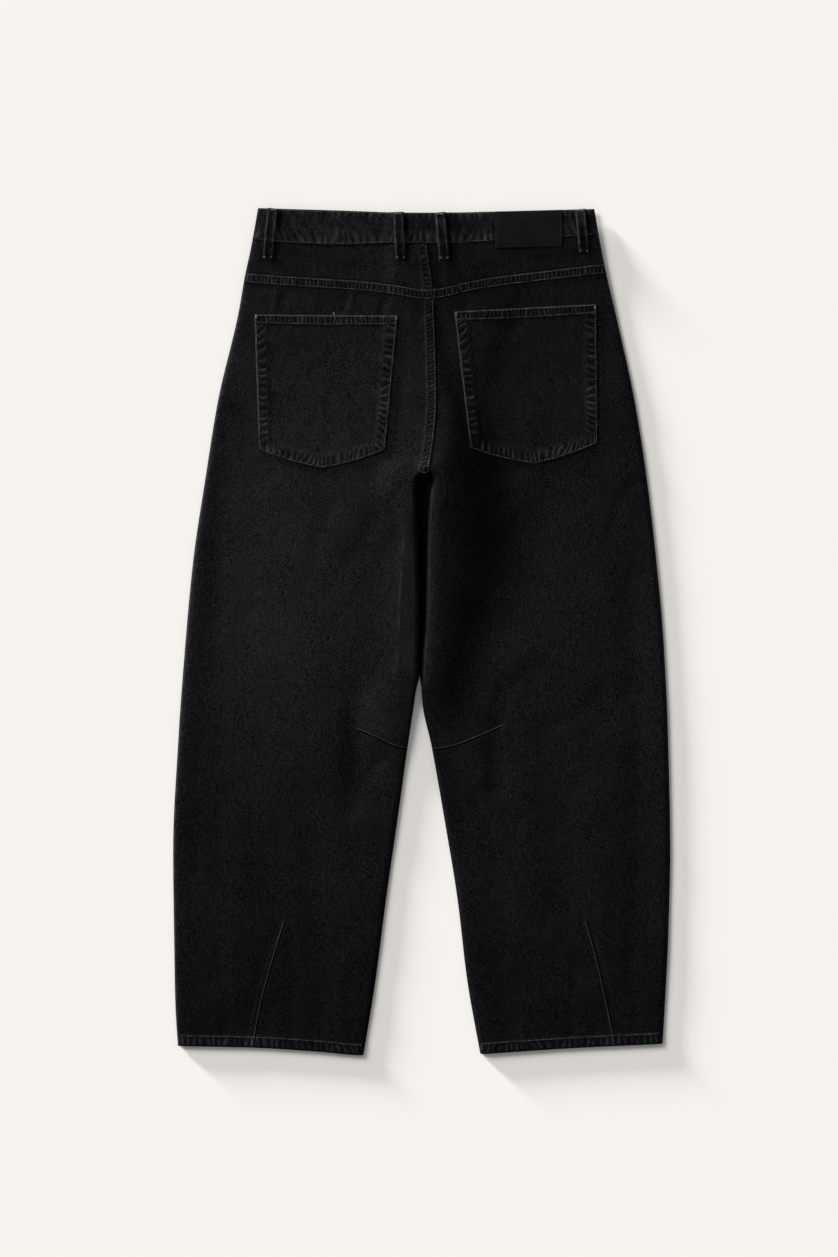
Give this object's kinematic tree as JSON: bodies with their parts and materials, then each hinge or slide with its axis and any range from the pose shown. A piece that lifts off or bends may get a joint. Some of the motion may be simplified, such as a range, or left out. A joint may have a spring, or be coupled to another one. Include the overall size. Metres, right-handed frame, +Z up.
{
  "type": "barrel leg trousers",
  "caption": "Black denim trousers with barrel legs, laid flat on their front with the back uppermost, with patch pockets, belt loops, a bare label patch and a buttoned waist.",
  "frame": {"origin": "centre of the bounding box on the surface that the trousers lie on", "axes": "+X towards the wearer's right side, +Y from the hems towards the waist, +Z up from the surface, out of the back of the trousers"},
  "size_m": [0.5724, 0.9747, 0.0157],
  "materials": {
    "black_denim": "matte black twill",
    "label_patch": "matte black coated patch",
    "button_metal": "dark brushed"
  },
  "bodies": {
    "root": {"back_left": "black_denim", "back_right": "black_denim", "yoke_left": "black_denim", "yoke_right": "black_denim", "waistband_back": "black_denim", "waistband_front_left": "black_denim", "waistband_front_right": "black_denim", "back_pocket_left": "black_denim", "back_pocket_right": "black_denim", "front_left": "black_denim", "front_right": "black_denim", "loop_back_side_left": "black_denim", "loop_back_mid_left": "black_denim", "loop_back_mid_right": "black_denim", "loop_back_side_right": "black_denim", "loop_front_left": "black_denim", "loop_front_right": "black_denim", "label_patch": "label_patch", "waist_button": "button_metal"}
  },
  "joints": []
}
